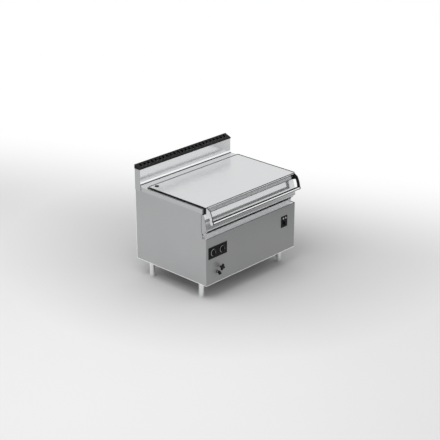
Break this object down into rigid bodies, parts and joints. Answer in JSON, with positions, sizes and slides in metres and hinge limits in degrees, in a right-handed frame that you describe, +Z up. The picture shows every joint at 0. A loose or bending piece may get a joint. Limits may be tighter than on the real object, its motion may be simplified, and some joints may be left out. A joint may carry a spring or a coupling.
{
  "type": "tilting bratt pan",
  "caption": "Free-standing tilting bratt pan: a steel cooking pan that tips forward, with hinged lid, full-width handle, rear flue upstand, dial controls, water tap and adjustable legs.",
  "frame": {"origin": "on the floor, under the middle of the whole width and of the whole depth from the handle to the back", "axes": "+X to the user's right, +Y from the front to the back, +Z up"},
  "size_m": [1.207, 0.975, 1.096],
  "materials": {
    "panel_steel": "brushed",
    "top_steel": "fine brushed",
    "bright_steel": "polished",
    "frame_steel": "satin",
    "machined_steel": "machined",
    "black_enamel": "semi-gloss",
    "black_plastic": "satin",
    "brass": "drawn",
    "grey_metal": "cast",
    "buffer_rubber": "matt",
    "ceramic_fibre": "matt"
  },
  "bodies": {
    "cabinet": {"base_rails_long": "frame_steel", "base_rails_short": "frame_steel", "base_plate": "panel_steel", "leg_tubes": "bright_steel", "posts": "frame_steel", "bearers": "frame_steel", "side_panels": "panel_steel", "front_panel": "panel_steel", "rear_panel": "panel_steel", "trough_plate": "top_steel", "side_rails": "top_steel", "rear_deck": "top_steel", "upstand": "top_steel", "flue_grille": "black_enamel", "tilt_bearings": "bright_steel", "gearmotor": "black_enamel", "combustion_box": "frame_steel", "burners": "frame_steel", "manifold": "brass", "flue_duct": "frame_steel", "gas_valves": "grey_metal", "gas_pipe": "brass", "tap_body": "brass", "tap_outlet": "black_plastic", "terminal_box": "grey_metal", "cable_gland": "black_plastic", "dial_plate": "black_enamel", "switch_plate": "black_enamel", "base_screws": "bright_steel"},
    "pan": {"pan_vessel": "bright_steel", "heating_plate": "frame_steel", "pan_insulation": "ceramic_fibre", "pan_casing": "panel_steel", "pan_fascia": "bright_steel", "pan_end_caps": "bright_steel", "pivot_plates": "bright_steel", "pivot_journals": "machined_steel", "tilt_gear": "machined_steel", "hinge_ears": "machined_steel"},
    "lid": {"lid_shell": "top_steel", "lid_apron": "top_steel", "lid_stiffeners": "top_steel", "lid_buffers": "buffer_rubber", "lid_vent": "black_plastic", "handle_bar": "black_plastic", "handle_strip": "bright_steel", "handle_arms": "black_plastic", "handle_covers": "bright_steel", "hinge_leaves": "machined_steel"},
    "drive_gear": {"drive_gear": "machined_steel"},
    "foot_front_left": {"foot_front_left": "bright_steel"},
    "foot_front_right": {"foot_front_right": "bright_steel"},
    "foot_rear_left": {"foot_rear_left": "bright_steel"},
    "foot_rear_right": {"foot_rear_right": "bright_steel"},
    "knob_left": {"knob_left": "black_plastic"},
    "knob_right": {"knob_right": "black_plastic"},
    "switch_knob": {"switch_knob": "black_plastic"},
    "button_up": {"button_up": "bright_steel"},
    "button_down": {"button_down": "bright_steel"},
    "tap_handle": {"tap_handle": "black_plastic"}
  },
  "joints": [
    {"name": "pan_tilt", "type": "hinge", "parent": "cabinet", "child": "pan", "pos_m": [0, -0.3765, 0.678], "axis": [1, 0, 0], "range_deg": [0, 75]},
    {"name": "lid_hinge", "type": "hinge", "parent": "pan", "child": "lid", "pos_m": [0, 0.3095, 0.914], "axis": [-1, 0, 0], "range_deg": [0, 85]},
    {"name": "drive_spin", "type": "hinge", "parent": "cabinet", "child": "drive_gear", "pos_m": [-0.588, -0.34654, 0.63187], "axis": [1, 0, 0], "range_deg": [-63, 1]},
    {"name": "foot_front_left_screw", "type": "slide", "parent": "cabinet", "child": "foot_front_left", "axis": [0, 0, -1], "range_m": [0, 0.04]},
    {"name": "foot_front_right_screw", "type": "slide", "parent": "cabinet", "child": "foot_front_right", "axis": [0, 0, -1], "range_m": [0, 0.04]},
    {"name": "foot_rear_left_screw", "type": "slide", "parent": "cabinet", "child": "foot_rear_left", "axis": [0, 0, -1], "range_m": [0, 0.04]},
    {"name": "foot_rear_right_screw", "type": "slide", "parent": "cabinet", "child": "foot_rear_right", "axis": [0, 0, -1], "range_m": [0, 0.04]},
    {"name": "knob_left_turn", "type": "hinge", "parent": "cabinet", "child": "knob_left", "pos_m": [-0.5105, -0.4225, 0.4725], "axis": [0, 1, 0], "range_deg": [-270, 0]},
    {"name": "knob_right_turn", "type": "hinge", "parent": "cabinet", "child": "knob_right", "pos_m": [-0.3955, -0.4225, 0.4725], "axis": [0, 1, 0], "range_deg": [0, 270]},
    {"name": "switch_knob_turn", "type": "hinge", "parent": "cabinet", "child": "switch_knob", "pos_m": [0.45, -0.4225, 0.4545], "axis": [0, 1, 0], "range_deg": [0, 90]},
    {"name": "button_up_press", "type": "slide", "parent": "cabinet", "child": "button_up", "axis": [0, 1, 0], "range_m": [0, 0.003], "stiffness_N_per_m": 400},
    {"name": "button_down_press", "type": "slide", "parent": "cabinet", "child": "button_down", "axis": [0, 1, 0], "range_m": [0, 0.003], "stiffness_N_per_m": 400},
    {"name": "tap_turn", "type": "hinge", "parent": "cabinet", "child": "tap_handle", "pos_m": [-0.432, -0.4495, 0.315], "axis": [0, 1, 0], "range_deg": [-360, 0]}
  ],
  "couplings": [
    {"joint": "drive_spin", "follows": "pan_tilt", "ratio": -0.83333}
  ]
}
